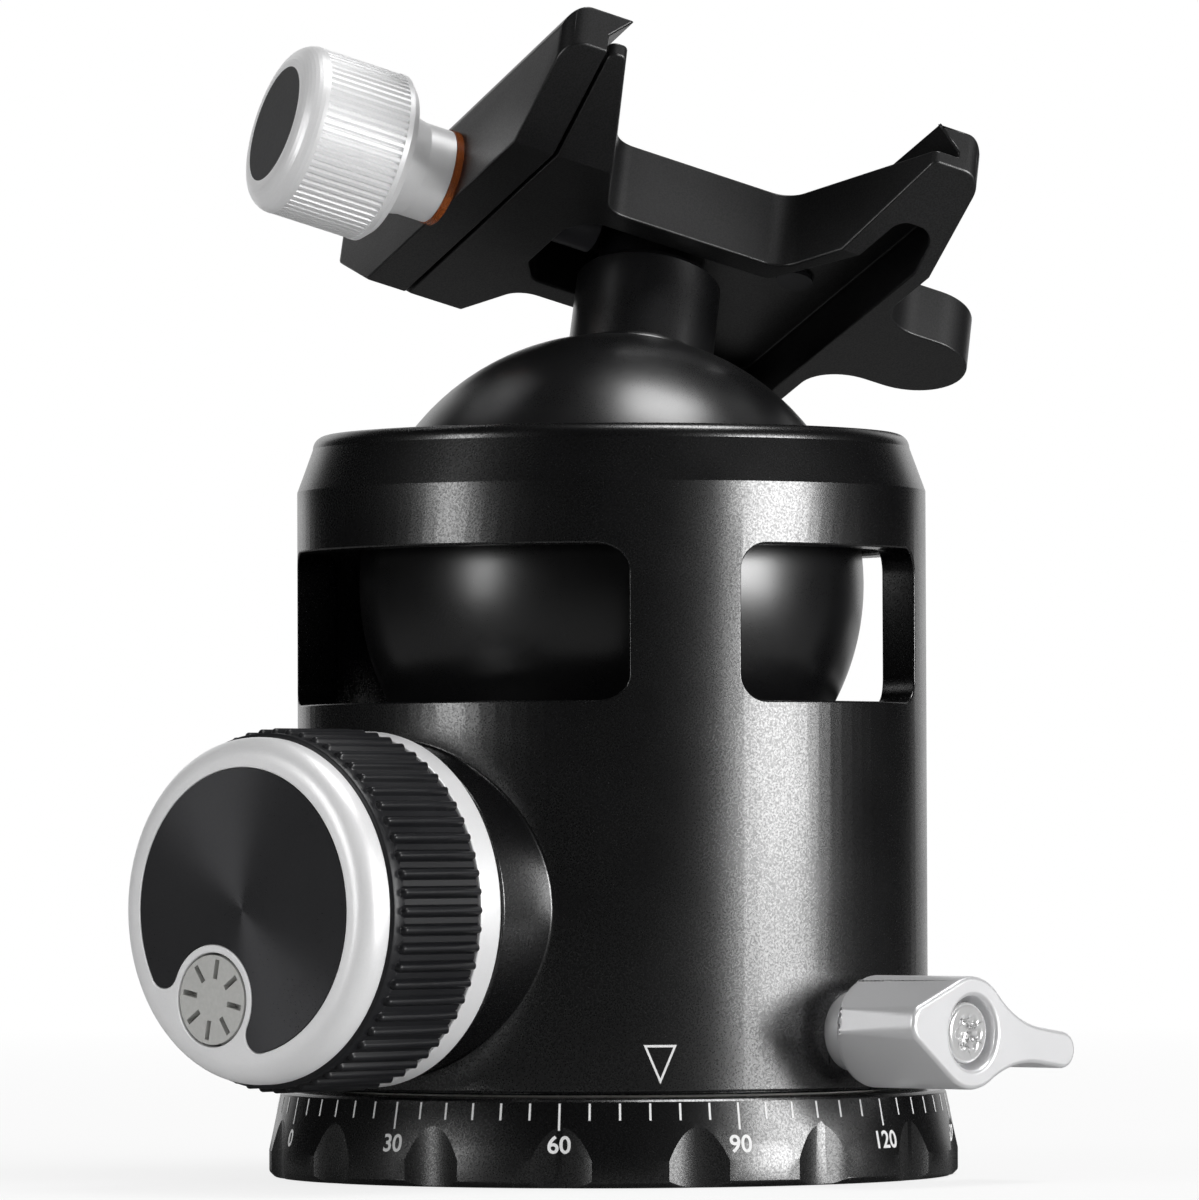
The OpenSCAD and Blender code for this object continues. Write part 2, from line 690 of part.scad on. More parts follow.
module bolt_shape(grow = 0) {
    flare = (bolt_head_r - bolt_r) / bolt_head_t;
    rod(bolt_r + grow, bolt_end_n, deck_n);
    translate([0, 0, deck_n - bolt_head_t])
        cylinder(r1 = bolt_r + grow, r2 = bolt_head_r + grow + grow * flare, h = bolt_head_t + grow);
}
module clamp_body() {
    color("#1c1c1e") on_neck() difference() {
        union() {
            intersection() {
                translate([0, 0, under_n]) linear_extrude(height = top_n - under_n) clamp_plan();
                union() {
                    translate([-split_x - over, -jaw_half - over, under_n])
                        cube([fixed_groove_x + split_x + 2 * over, jaw_len + 2 * over, deck_t]);
                    translate([fixed_groove_x, 0, 0]) along_groove()
                        jaw_section(fixed_side_x - fixed_groove_x, under_n);
                }
                jaw_corners(-split_x - over, fixed_side_x);
            }
            translate([0, 0, under_n]) linear_extrude(height = ear_t) ear_plan();
        }
        end_slopes();
        translate([0, 0, under_n - over]) linear_extrude(height = pocket_depth + over) pocket_plan();
        bolt_shape(screw_fit);
        along_screw() rod(screw_r + screw_fit, -screw_end_x - loose_gap, split_x + over);
        for (s = [-1, 1]) translate([0, s * pin_y, 0]) along_screw()
            rod(pin_r + screw_fit, -pin_end_x - loose_gap, split_x + over);
        for (s = [-1, 1]) translate([0, s * spring_y, 0]) along_screw()
            rod(spring_bore_r, -spring_end_x, split_x + over);
        translate([ear_x, 0, 0]) rod(vial_r + screw_fit, vial_n - backing_t, top_n);
        translate([stop_x, 0, 0]) rod(stop_r + screw_fit, pocket_n - over, deck_n + over);
    }
}
module clamp_bolt() {
    color("#b9bcc0") on_neck() difference() {
        bolt_shape();
        key_socket(bolt_key_r, deck_n, key_depth);
    }
}
module stop_screw() {
    color("#3a3a3d") on_neck() translate([stop_x, 0, 0]) {
        rod(stop_r, pocket_n - stop_nut_t, deck_n - loose_gap);
        rod(stop_nut_r, pocket_n - stop_nut_t, pocket_n);
    }
}
module jaw_springs() {
    z0 = -spring_end_x + jaw_wire_r;
    z1 = split_x + split_gap - jaw_wire_r;
    color("#c9ccd0") on_neck() for (s = [-1, 1]) translate([0, s * spring_y, 0]) along_screw()
        coil(jaw_coil_r, jaw_wire_r, z0, z1, 5, 14, 6);
}
module level_vial() {
    color("#cfe07a") on_neck() translate([ear_x, 0, 0])
        rod(vial_r, vial_n, vial_n + vial_t);
}
module level_backing() {
    color("#f2f2ee") on_neck() translate([ear_x, 0, 0])
        rod(vial_r, vial_n - backing_t, vial_n);
}

// ---- jaw and its screw ----
module movable_jaw() {
    color("#1c1c1e") on_neck() difference() {
        intersection() {
            translate([jaw_face_x, 0, 0]) mirror([1, 0, 0]) along_groove() jaw_section(jaw_t, under_n);
            jaw_corners(jaw_face_x + hook_run, jaw_side_x);
        }
        end_slopes();
        along_screw() rod(screw_r + loose_gap, -jaw_face_x - hook_run, -jaw_side_x + over);
        for (s = [-1, 1]) translate([0, s * pin_y, 0]) along_screw()
            rod(pin_r, -jaw_face_x - over, -jaw_side_x - pin_cover);
    }
}
module guide_pins() {
    color("#c9ccd0") on_neck() for (s = [-1, 1]) translate([0, s * pin_y, 0]) along_screw()
        rod(pin_r, -pin_end_x, -jaw_side_x - pin_cover);
}
module clamp_washer() {
    color("#a8521f") on_neck() along_screw()
        tube(washer_r, screw_r + loose_gap, -jaw_side_x, -jaw_side_x + washer_t);
}
module clamp_knob() {
    z0 = -neck_end_x;
    z1 = -drum_back_x;
    z2 = -drum_front_x;
    flutes_z0 = z1 + drum_edge + over / 2;
    flutes_z1 = z2 - drum_round_r;
    core_r = clamp_knob_r - 2 * flute_depth;
    color("#d6d8da") on_neck() along_screw() difference() {
        union() {
            translate([0, 0, flutes_z0]) linear_extrude(height = flutes_z1 - flutes_z0)
                ribbed(clamp_knob_r - flute_sink, flute_depth, flute_count);
            rotate_extrude() polygon([[0, z0], [clamp_neck_r, z0], [clamp_neck_r, (z0 + z1) / 2],
                [clamp_neck_r + neck_flare, z1], [clamp_knob_r - drum_edge, z1],
                [clamp_knob_r, z1 + drum_edge], [clamp_knob_r, flutes_z0], [core_r, flutes_z0],
                [core_r, flutes_z1], each quarter(clamp_knob_r, z2, drum_round_r), [0, z2]]);
        }
        rod(screw_r, z0 - over, z2 - screw_cover);
        rod(cap_r, z2 - cap_t, z2 + over);
    }
}
module clamp_screw() {
    color("#c9ccd0") on_neck() along_screw() rod(screw_r, -screw_end_x, -drum_front_x - screw_cover);
}
module clamp_knob_cap() {
    color("#2b2b2d") on_neck() along_screw() rod(cap_r, -drum_front_x - cap_t, -drum_front_x);
}

// ---- main knob ----
module face_plan(grow = 0) {
    offset(delta = grow) offset(r = face_corner_r) offset(delta = -face_corner_r) difference() {
        circle(r = face_r);
        translate([wheel_x, wheel_y]) circle(r = wheel_r + bezel_t + loose_gap);
    }
}
module knob_core() {
    color("#d6d8da") along_knob() difference() {
        rotate_extrude() polygon([[0, knob_rear], [knob_rear_r - edge_cut, knob_rear],
            [knob_rear_r, knob_rear + edge_cut], [knob_rear_r, grip_rear], [knob_drum_r, grip_rear],
            [knob_drum_r, grip_front], [knob_front_r, grip_front],
            each quarter(knob_front_r, knob_front, knob_shoulder_r), [0, knob_front]]);
        translate([0, 0, knob_front - face_t]) linear_extrude(height = face_t + over) face_plan(screw_fit);
        rod(spindle_r, knob_rear - over, spindle_front);
        rod(knob_screw_head_r + loose_gap, spindle_front - screw_fit, knob_front + over);
        translate([wheel_x, wheel_y, 0]) {
            rod(wheel_pocket_r, knob_front - wheel_t - loose_gap, knob_front + over);
            rod(friction_rod_r + screw_fit, knob_rear - over, knob_front);
        }
    }
}
module knob_grip() {
    color("#2f2f33") along_knob() difference() {
        translate([0, 0, grip_rear]) linear_extrude(height = grip_len)
            ribbed(grip_r, grip_rib_depth, grip_ribs);
        rod(knob_drum_r, grip_rear - over, grip_front + over);
    }
}
module knob_face() {
    color("#26262a") along_knob()
        translate([0, 0, knob_front - face_t]) linear_extrude(height = face_t) face_plan();
}
module main_spindle() {
    color("#b9bcc0") along_knob() difference() {
        union() {
            rod(spindle_r, tip_start, spindle_front);
            translate([0, 0, tip_end]) cylinder(r1 = tip_r, r2 = spindle_r, h = tip_len);
        }
        rod(knob_screw_r, spindle_front - knob_screw_len, spindle_front + over);
    }
}
module knob_screw() {
    color("#3a3a3d") along_knob() difference() {
        union() {
            rod(knob_screw_r, spindle_front - knob_screw_len, spindle_front + over);
            rod(knob_screw_head_r, spindle_front, spindle_front + knob_screw_head_t);
        }
        key_socket(knob_key_r, spindle_front + knob_screw_head_t, key_depth);
    }
}
module friction_wheel() {
    color("#a5a5a3") along_knob() translate([wheel_x, wheel_y, 0]) difference() {
        rod(wheel_r, knob_front - wheel_t, knob_front);
        for (i = [0:wheel_slots - 1]) rotate([0, 0, wheel_slot_first + i * 360 / wheel_slots])
            translate([wheel_hub_r, -wheel_slot_w / 2, knob_front - wheel_slot_depth])
                cube([wheel_slot_len, wheel_slot_w, over + wheel_slot_depth]);
    }
}
module friction_screw() {
    color("#3a3a3d") along_knob() translate([wheel_x, wheel_y, 0])
        rod(friction_rod_r, knob_rear + screw_fit, knob_front - wheel_t);
}

// ---- pan lock ----
// Pear-shaped outline with a blunt heel and a slim tail
module lever_plan() {
    tail_r = lever_tail_t / 2;
    offset(r = -lever_flank_r) offset(delta = lever_flank_r) {
        hull() {
            circle(r = lever_hub_r);
            translate([-lever_heel, -lever_heel_half]) square([1, 2 * lever_heel_half]);
        }
        translate([0, -tail_r]) square([lever_tail - tail_r, lever_tail_t]);
        translate([lever_tail - tail_r, 0]) circle(r = tail_r);
    }
}
module pan_lever() {
    reach = lever_tail + over;
    color("#dcdddf") along_lever() difference() {
        intersection() {
            translate([0, 0, lever_back]) linear_extrude(height = lever_face - lever_back)
                rotate([0, 0, lever_turn]) lever_plan();
            rotate_extrude() polygon([[0, lever_back], [lever_hub_r - edge_cut, lever_back],
                [lever_hub_r, lever_back + edge_cut], [lever_heel, lever_back + lever_relief],
                [reach, lever_back + lever_relief + 1], [reach, lever_face], [0, lever_face]]);
        }
        rod(lever_spindle_r, lever_back - over, lever_web_back);
        rod(lever_screw_r + screw_fit, lever_back, lever_face);
        rod(lever_hole_r, lever_web_front, lever_face + over);
    }
}
module lever_screw() {
    color("#cfd1d4") along_lever() difference() {
        union() {
            rod(lever_screw_r, lever_back, lever_head_top - over);
            rod(lever_head_r, lever_web_front, lever_head_top);
        }
        translate([0, 0, lever_head_top - key_depth]) linear_extrude(height = key_depth + over) {
            circle(r = lobe_ring_r);
            ring_of(lobe_count, lobe_ring_r) circle(r = lobe_r);
        }
    }
}
module lever_spindle() {
    color("#b9bcc0") along_lever() difference() {
        rod(lever_spindle_r, lever_spindle_in, lever_web_back);
        rod(lever_screw_r, lever_back, lever_web_back + over);
    }
}

pan_base();
pan_post();
tripod_bush();
base_screws();
lower_slip_washer();
upper_slip_washer();
retaining_ring();
retaining_screws();
housing();
bearing_collar();
spindle_bush();
pressure_piston();
lift_spring();
pan_shoe();
lever_collar();
knob_washer();
upper_race();
lower_race();
ball_stem();
clamp_body();
clamp_bolt();
stop_screw();
jaw_springs();
level_vial();
level_backing();
movable_jaw();
guide_pins();
clamp_washer();
clamp_knob();
clamp_screw();
clamp_knob_cap();
knob_core();
knob_grip();
knob_face();
main_spindle();
knob_screw();
friction_wheel();
friction_screw();
pan_lever();
lever_screw();
lever_spindle();
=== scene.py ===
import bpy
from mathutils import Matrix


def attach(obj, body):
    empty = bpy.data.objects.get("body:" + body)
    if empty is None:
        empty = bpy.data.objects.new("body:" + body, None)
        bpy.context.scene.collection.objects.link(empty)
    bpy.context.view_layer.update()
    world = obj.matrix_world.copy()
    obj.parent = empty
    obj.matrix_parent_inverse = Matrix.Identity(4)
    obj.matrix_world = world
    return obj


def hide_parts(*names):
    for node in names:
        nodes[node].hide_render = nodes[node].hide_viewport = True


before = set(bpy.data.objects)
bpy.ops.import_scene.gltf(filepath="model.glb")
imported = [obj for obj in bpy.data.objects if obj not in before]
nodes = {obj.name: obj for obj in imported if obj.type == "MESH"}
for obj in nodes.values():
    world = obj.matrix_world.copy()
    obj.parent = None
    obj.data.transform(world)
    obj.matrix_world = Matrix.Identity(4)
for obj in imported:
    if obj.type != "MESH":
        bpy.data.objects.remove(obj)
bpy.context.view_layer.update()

from math import cos, pi, radians, sin, sqrt

import bmesh
import bpy
from mathutils import Matrix, Vector
from mathutils.bvhtree import BVHTree

# ---- Camera ----
# A long lens held just above the height of the main knob, tipped up by a degree and a half, so that the
# knob's face and the lever's tail both show and the rim is seen edge on.
mm = 0.001
camera_place = Vector((540.4, -601.9, 32.7)) * mm
camera_heading = radians(42.0)
camera_rise = radians(1.55)
camera_roll = radians(0.2)
camera_lens = 255
sensor_w = 36
clip_near = 0.05
clip_far = 10
level_share = cos(camera_rise)
ahead = Vector((-sin(camera_heading) * level_share, cos(camera_heading) * level_share, sin(camera_rise)))
aside = Vector((cos(camera_heading), sin(camera_heading), 0))
aloft = aside.cross(ahead)
camera = bpy.data.objects.new("camera", bpy.data.cameras.new("camera"))
camera.data.lens = camera_lens
camera.data.sensor_width = sensor_w
camera.data.clip_start = clip_near
camera.data.clip_end = clip_far
turned = Matrix((aside, aloft, -ahead)).transposed() @ Matrix.Rotation(-camera_roll, 3, "Z")
camera.matrix_world = Matrix.Translation(camera_place) @ turned.to_4x4()
bpy.context.scene.collection.objects.link(camera)
bpy.context.scene.camera = camera
bpy.context.scene.view_settings.view_transform = "Standard"

# ---- Floor, backdrop and lamps ----
# White paper, a metre wide, starts behind the object and runs up behind it, in a room that is dark beside
# it. The camera sees white all round, and only reflections meet the dark. Soft boxes at the left and the
# right draw the bands down the barrel, and one hangs over the ball.
floor_half = 3.0
floor_drop = 0.00005
floor_white = 0.86
shadow_r = 0.05
shadow_end_r = 0.6
shadow_glow = 0.8
shade_tone = 0.012
paper_half = 0.45
paper_front = 0.4
paper_fade = 0.12
paper_full_rise = 0.3
paper_top_rise = 0.6
room_tone = 0.008
fill_strength = 0.42
lamp_aim = Vector((0, 0, 0.05))


def wired(tree, kind, operation=None, *sources):
    """A node whose inputs are fed, in order, from sockets or from plain numbers."""
    node = tree.nodes.new(kind)
    if operation:
        node.operation = operation
    for slot, source in zip(node.inputs, sources):
        if isinstance(source, bpy.types.NodeSocket):
            tree.links.new(source, slot)
        else:
            slot.default_value = source
    return node


def computed(tree, operation, *sources):
    """The result of a sum on sockets and plain numbers."""
    return wired(tree, "ShaderNodeMath", operation, *sources).outputs[0]


def mapped(tree, value, start, end, low=0.0, high=1.0, way="LINEAR"):
    """Carries a value from one range over to another, and holds it at both ends."""
    ramp = tree.nodes.new("ShaderNodeMapRange")
    ramp.interpolation_type = way
    for slot, number in (("From Min", start), ("From Max", end), ("To Min", low), ("To Max", high)):
        ramp.inputs[slot].default_value = number
    tree.links.new(value, ramp.inputs["Value"])
    return ramp.outputs["Result"]


def stepped(tree, value, start, end):
    """Nought before the start, one past the end, and smooth between them."""
    return mapped(tree, value, start, end, way="SMOOTHSTEP")


def shown_rays(tree):
    """One for rays from the camera, a reflection or a clear piece, and one for the camera's alone."""
    path = tree.nodes.new("ShaderNodeLightPath")
    pair = computed(tree, "MAXIMUM", path.outputs["Is Camera Ray"], path.outputs["Is Glossy Ray"])
    shown = computed(tree, "MAXIMUM", pair, path.outputs["Is Transmission Ray"])
    return shown, path.outputs["Is Camera Ray"]


def on_paper(tree, place, start):
    """One on the strip of paper behind the object, and nought in the dark beside it and in front."""
    across = wired(tree, "ShaderNodeVectorMath", "DOT_PRODUCT", place, aside[:]).outputs["Value"]
    along = wired(tree, "ShaderNodeVectorMath", "DOT_PRODUCT", place, (-aside.y, aside.x, 0)).outputs["Value"]
    side = stepped(tree, computed(tree, "ABSOLUTE", across), paper_half + paper_fade, paper_half)
    return computed(tree, "MULTIPLY", side, stepped(tree, along, start, start + paper_fade))


def white_stage():
    """Matt white that keeps the object's shadow, and glows white to the camera and on the paper."""
    paint = bpy.data.materials.new("white_stage")
    paint.use_nodes = True
    tree = paint.node_tree
    tree.nodes.clear()
    matt = wired(tree, "ShaderNodeBsdfDiffuse", None, (floor_white, floor_white, floor_white, 1))
    place = tree.nodes.new("ShaderNodeTexCoord").outputs["Object"]
    reach = wired(tree, "ShaderNodeVectorMath", "LENGTH", place).outputs["Value"]
    even = mapped(tree, reach, shadow_r, shadow_end_r, shadow_glow, 1.0)
    shown, straight = shown_rays(tree)
    paper = computed(tree, "MAXIMUM", on_paper(tree, place, paper_front), shade_tone)
    glow = wired(tree, "ShaderNodeEmission", None, computed(tree, "MAXIMUM", straight, paper), 1.0)
    share = computed(tree, "MULTIPLY", shown, even)
    mix = wired(tree, "ShaderNodeMixShader", None, share, matt.outputs[0], glow.outputs[0])
    tree.links.new(mix.outputs[0], tree.nodes.new("ShaderNodeOutputMaterial").inputs[0])
    return paint


def made(name, shape, paint, crease=12):
    """Turns a shape into an object with its paint, smooth but for the edges over the crease angle."""
    mesh = bpy.data.meshes.new(name)
    shape.to_mesh(mesh)
    shape.free()
    if "custom_normal" in mesh.attributes:
        mesh.attributes.remove(mesh.attributes["custom_normal"])
    mesh.materials.append(paint)
    mesh.shade_smooth()
    mesh.set_sharp_from_angle(angle=radians(crease))
    piece = bpy.data.objects.new(name, mesh)
    bpy.context.scene.collection.objects.link(piece)
    return piece


def soft_box(name, azimuth, elevation, distance, size, watts):
    """A rectangular lamp that faces the barrel, by compass angle, height angle and distance."""
    lamp = bpy.data.lights.new(name, "AREA")
    lamp.shape = "RECTANGLE"
    lamp.size, lamp.size_y = size
    lamp.energy = watts
    box = bpy.data.objects.new(name, lamp)
    turn = radians(azimuth)
    rise = radians(elevation)
    place = lamp_aim + distance * Vector((sin(turn) * cos(rise), -cos(turn) * cos(rise), sin(rise)))
    facing = (place - lamp_aim).to_track_quat("Z", "Y").to_matrix().to_4x4()
    box.matrix_world = Matrix.Translation(place) @ facing
    bpy.context.scene.collection.objects.link(box)


sheet = bmesh.new()
bmesh.ops.create_grid(sheet, x_segments=1, y_segments=1, size=floor_half)
bmesh.ops.translate(sheet, verts=sheet.verts, vec=(0, 0, -floor_drop))
floor = made("floor", sheet, white_stage())

world = bpy.data.worlds.new("white_room")
bpy.context.scene.world = world
world.use_nodes = True
air = world.node_tree
air.nodes.clear()
fill = wired(air, "ShaderNodeBackground", None, (1, 1, 1, 1), fill_strength)
skyward = air.nodes.new("ShaderNodeTexCoord").outputs["Generated"]
sky_rise = wired(air, "ShaderNodeSeparateXYZ", None, skyward).outputs["Z"]
low_down = stepped(air, sky_rise, paper_top_rise, paper_full_rise)
behind = computed(air, "MULTIPLY", low_down, on_paper(air, skyward, 0.0))
shown, straight = shown_rays(air)
room = computed(air, "MAXIMUM", straight, computed(air, "MAXIMUM", behind, room_tone))
seen = wired(air, "ShaderNodeBackground", None, room, 1.0)
either = wired(air, "ShaderNodeMixShader", None, shown, fill.outputs[0], seen.outputs[0])
air.links.new(either.outputs[0], air.nodes.new("ShaderNodeOutputWorld").inputs[0])

soft_box("box_left", azimuth=-18, elevation=8, distance=0.9, size=(0.18, 0.7), watts=2.4)
soft_box("box_right", azimuth=103, elevation=5, distance=0.9, size=(0.48, 0.36), watts=6.5)
soft_box("box_top", azimuth=132, elevation=74, distance=0.8, size=(0.32, 0.32), watts=2.6)

# ---- Foot ----
# The disc that the head stands on is turned from aluminium, milled with sixteen finger scallops, bead
# blasted and anodised black. Three countersunk screws hold it to the post, and a steel bush carries the
# tripod's thread.
foot_edge = 0.12
fine_detail = 2.5
fine_roughness = 0.62
fine_share = 0.6
slow_detail = 3
slow_share = 0.4
patch_size = 0.008
tone_low = 0.3
tone_high = 0.7
fleck_low = 0.4
fleck_high = 0.62
flat_within = radians(0.1)
sharp_over = radians(34)
slim_under = radians(14)
stray_share = 0.6


def grain_group():
    """Fine grain of a blasted or moulded skin: its height, and a tone that also drifts in slow patches."""
    group = bpy.data.node_groups.new("skin_grain", "ShaderNodeTree")
    for name in ("Grain", "Patch"):
        group.interface.new_socket(name, in_out="INPUT", socket_type="NodeSocketFloat")
    for name in ("Height", "Tone"):
        group.interface.new_socket(name, in_out="OUTPUT", socket_type="NodeSocketFloat")
    taken = group.nodes.new("NodeGroupInput")
    given = group.nodes.new("NodeGroupOutput")
    place = group.nodes.new("ShaderNodeTexCoord")
    fine = group.nodes.new("ShaderNodeTexNoise")
    fine.inputs["Detail"].default_value = fine_detail
    fine.inputs["Roughness"].default_value = fine_roughness
    slow = group.nodes.new("ShaderNodeTexNoise")
    slow.inputs["Detail"].default_value = slow_detail
    for noise, scale in ((fine, "Grain"), (slow, "Patch")):
        group.links.new(place.outputs["Object"], noise.inputs["Vector"])
        group.links.new(taken.outputs[scale], noise.inputs["Scale"])
    drift = computed(group, "MULTIPLY", slow.outputs["Fac"], slow_share)
    tone = computed(group, "MULTIPLY_ADD", fine.outputs["Fac"], fine_share, drift)
    group.links.new(fine.outputs["Fac"], given.inputs["Height"])
    group.links.new(tone, given.inputs["Tone"])
    return group


skin_grain = grain_group()


def skinned(name, dark, light, rough, grain, bite, metallic=0.0, specular=0.5, fleck=0.0, **more):
    """A finish between two tones and two roughnesses. Its grain has a size and a bite in metres, and a
    fleck is how metallic the tops of the grains look."""
    paint = bpy.data.materials.new(name)
    paint.use_nodes = True
    tree = paint.node_tree
    gloss = tree.nodes["Principled BSDF"]
    skin = tree.nodes.new("ShaderNodeGroup")
    skin.node_tree = skin_grain
    skin.inputs["Grain"].default_value = 1 / grain
    skin.inputs["Patch"].default_value = 1 / patch_size
    tone = tree.nodes.new("ShaderNodeMix")
    tone.data_type = "RGBA"
    tone.inputs["A"].default_value = (*dark, 1)
    tone.inputs["B"].default_value = (*light, 1)
    tree.links.new(skin.outputs["Tone"], tone.inputs["Factor"])
    tree.links.new(tone.outputs["Result"], gloss.inputs["Base Color"])
    dull = mapped(tree, skin.outputs["Tone"], tone_low, tone_high, *rough)
    tree.links.new(dull, gloss.inputs["Roughness"])
    relief = tree.nodes.new("ShaderNodeBump")
    relief.inputs["Strength"].default_value = 1.0
    relief.inputs["Distance"].default_value = bite
    tree.links.new(skin.outputs["Height"], relief.inputs["Height"])
    tree.links.new(relief.outputs["Normal"], gloss.inputs["Normal"])
    gloss.inputs["Metallic"].default_value = metallic
    if fleck:
        tops = mapped(tree, skin.outputs["Height"], fleck_low, fleck_high, 0.0, fleck)
        tree.links.new(tops, gloss.inputs["Metallic"])
    gloss.inputs["Specular IOR Level"].default_value = specular
    for socket, value in more.items():
        gloss.inputs[socket.replace("_", " ")].default_value = value
    return paint


def worked(node, near=0.0001):
    """The node's own shape, merged where points are nearer than that in millimetres, with its flat faces
    whole again and no slivers beside its edges."""
    shape = bmesh.new()
    shape.from_mesh(nodes[node].data)
    bmesh.ops.remove_doubles(shape, verts=shape.verts, dist=near * mm)
    bmesh.ops.dissolve_limit(shape, angle_limit=flat_within, verts=shape.verts, edges=shape.edges)
    slim = set()
    for vert in shape.verts:
        sound = [edge for edge in vert.link_edges if edge.is_manifold]
        hard = [edge for edge in sound if edge.calc_face_angle() > sharp_over]
        for edge in set(sound) - set(hard):
            way = edge.other_vert(vert).co - vert.co
            if any(way.angle(other.other_vert(vert).co - vert.co) < slim_under for other in hard):
                slim.add(edge)
    bmesh.ops.dissolve_edges(shape, edges=[edge for edge in shape.edges if edge in slim], use_verts=False)
    return shape


def eased(node, piece, width, sides=2, over=34):
    """Breaks the piece's sharp edges by a small round, in millimetres, and keeps it on the node's shape."""
    ease = piece.modifiers.new("eased_edges", "BEVEL")
    ease.width = width * mm
    ease.segments = sides
    ease.limit_method = "ANGLE"
    ease.angle_limit = radians(over)
    ease.use_clamp_overlap = False
    ease.loop_slide = False
    ease.harden_normals = True
    rounded = bpy.data.meshes.new_from_object(piece.evaluated_get(bpy.context.evaluated_depsgraph_get()))
    piece.modifiers.clear()
    packed = nodes[node].data
    true_skin = BVHTree.FromPolygons([vert.co for vert in packed.vertices],
        [face.vertices for face in packed.polygons])
    for vert in rounded.vertices:
        spot, facing, face, away = true_skin.find_nearest(vert.co)
        if away > stray_share * width * mm:
            vert.co = spot
    piece.data = rounded
    return piece


def finished(paint, *names):
    """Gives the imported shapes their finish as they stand."""
    for name in names:
        mesh = nodes[name].data
        mesh.materials.clear()
        mesh.materials.append(paint)


blasted_black = skinned("blasted_black", dark=(0.001, 0.001, 0.0012), light=(0.0025, 0.0025, 0.003),
    rough=(0.23, 0.31), grain=0.0002, bite=0.000004, specular=0.95, fleck=0.4, IOR=1.7)
turned_steel = skinned("turned_steel", dark=(0.52, 0.52, 0.53), light=(0.66, 0.66, 0.67),
    rough=(0.22, 0.36), grain=0.0004, bite=0.000002, metallic=1.0)
black_oxide = skinned("black_oxide", dark=(0.02, 0.02, 0.022), light=(0.05, 0.05, 0.055),
    rough=(0.3, 0.42), grain=0.0003, bite=0.000003, metallic=0.4)
foot = eased("pan_base", made("foot_disc", worked("pan_base"), blasted_black), foot_edge)
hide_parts("pan_base")
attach(foot, "pan_base")
finished(turned_steel, "tripod_bush")
finished(black_oxide, "base_screws")

# ---- Degree scale ----
# White marks printed round the foot: one every five degrees, a longer one every thirty, and its number
# under it. The ink lies as a film on the slope and in the scallops.
ink_lift = 0.018
ink_t = 0.012
ink_curve_r = 32.0
ink_step = 0.35
outside_r = 0.06
zero_at = -117.0
tick_every = 5
tick_w = 0.2
tick_top = 7.72
tick_low = 6.17
tick_rows = 8
long_tick_low = 5.26
number_every = 30
number_z = 3.975
number_h = 1.65
number_half = (3, 1)
letter_weight = 0.018
letter_sides = 6


def flat_number(words):
    """The words as flat faces, one unit high and centred, from Blender's own letters."""
    curve = bpy.data.curves.new("number", "FONT")
    curve.body = words
    curve.size = 1.0
    curve.offset = letter_weight
    curve.align_x = "CENTER"
    curve.resolution_u = letter_sides
    letters = bpy.data.objects.new("number", curve)
    bpy.context.scene.collection.objects.link(letters)
    flat = letters.evaluated_get(bpy.context.evaluated_depsgraph_get())
    shape = bmesh.new()
    shape.from_mesh(flat.to_mesh())
    bpy.data.objects.remove(letters)
    bpy.data.curves.remove(curve)
    heights = [vert.co.y for vert in shape.verts]
    tall = max(heights) - min(heights)
    bmesh.ops.translate(shape, verts=shape.verts, vec=(0, -(max(heights) + min(heights)) / 2, 0))
    bmesh.ops.scale(shape, verts=shape.verts, vec=(1 / tall, 1 / tall, 1))
    return shape


def sliced(shape, half_w, half_h):
    """Cuts flat faces into small ones, so that they can follow a curved wall."""
    for axis, half in ((0, half_w), (1, half_h)):
        count = int(half / ink_step) + 1
        for i in range(-count, count + 1):
            spot = Vector((0, 0, 0))
            spot[axis] = i * ink_step
            way = Vector((0, 0, 0))
            way[axis] = 1
            bmesh.ops.bisect_plane(shape, geom=shape.verts[:] + shape.edges[:] + shape.faces[:], dist=1e-6,
                plane_co=spot, plane_no=way)


def thickened(shape, thick):
    """Turns a film of faces that look along +Z into a thin closed slab."""
    bmesh.ops.recalc_face_normals(shape, faces=shape.faces)
    if sum(face.normal.z for face in shape.faces) < 0:
        bmesh.ops.reverse_faces(shape, faces=shape.faces)
    grown = bmesh.ops.extrude_face_region(shape, geom=shape.faces[:])
    tops = [item for item in grown["geom"] if isinstance(item, bmesh.types.BMVert)]
    bmesh.ops.translate(shape, verts=tops, vec=(0, 0, thick))
    bmesh.ops.recalc_face_normals(shape, faces=shape.faces)


def wrapped(shape, wall, turn, height):
    """Lays a flat shape, in millimetres, on a wall of the object at a compass angle and a height."""
    for vert in shape.verts:
        around = radians(turn) + vert.co.x / ink_curve_r
        z = (height + vert.co.y) * mm
        way = Vector((cos(around), sin(around), 0))
        hit = wall.ray_cast(way * outside_r + Vector((0, 0, z)), -way)[0]
        vert.co = hit + way * (ink_lift + vert.co.z) * mm


def joined_into(whole, shape):
    """Adds a shape to the whole and frees it."""
    mesh = bpy.data.meshes.new("mark")
    shape.to_mesh(mesh)
    shape.free()
    whole.from_mesh(mesh)
    bpy.data.meshes.remove(mesh)


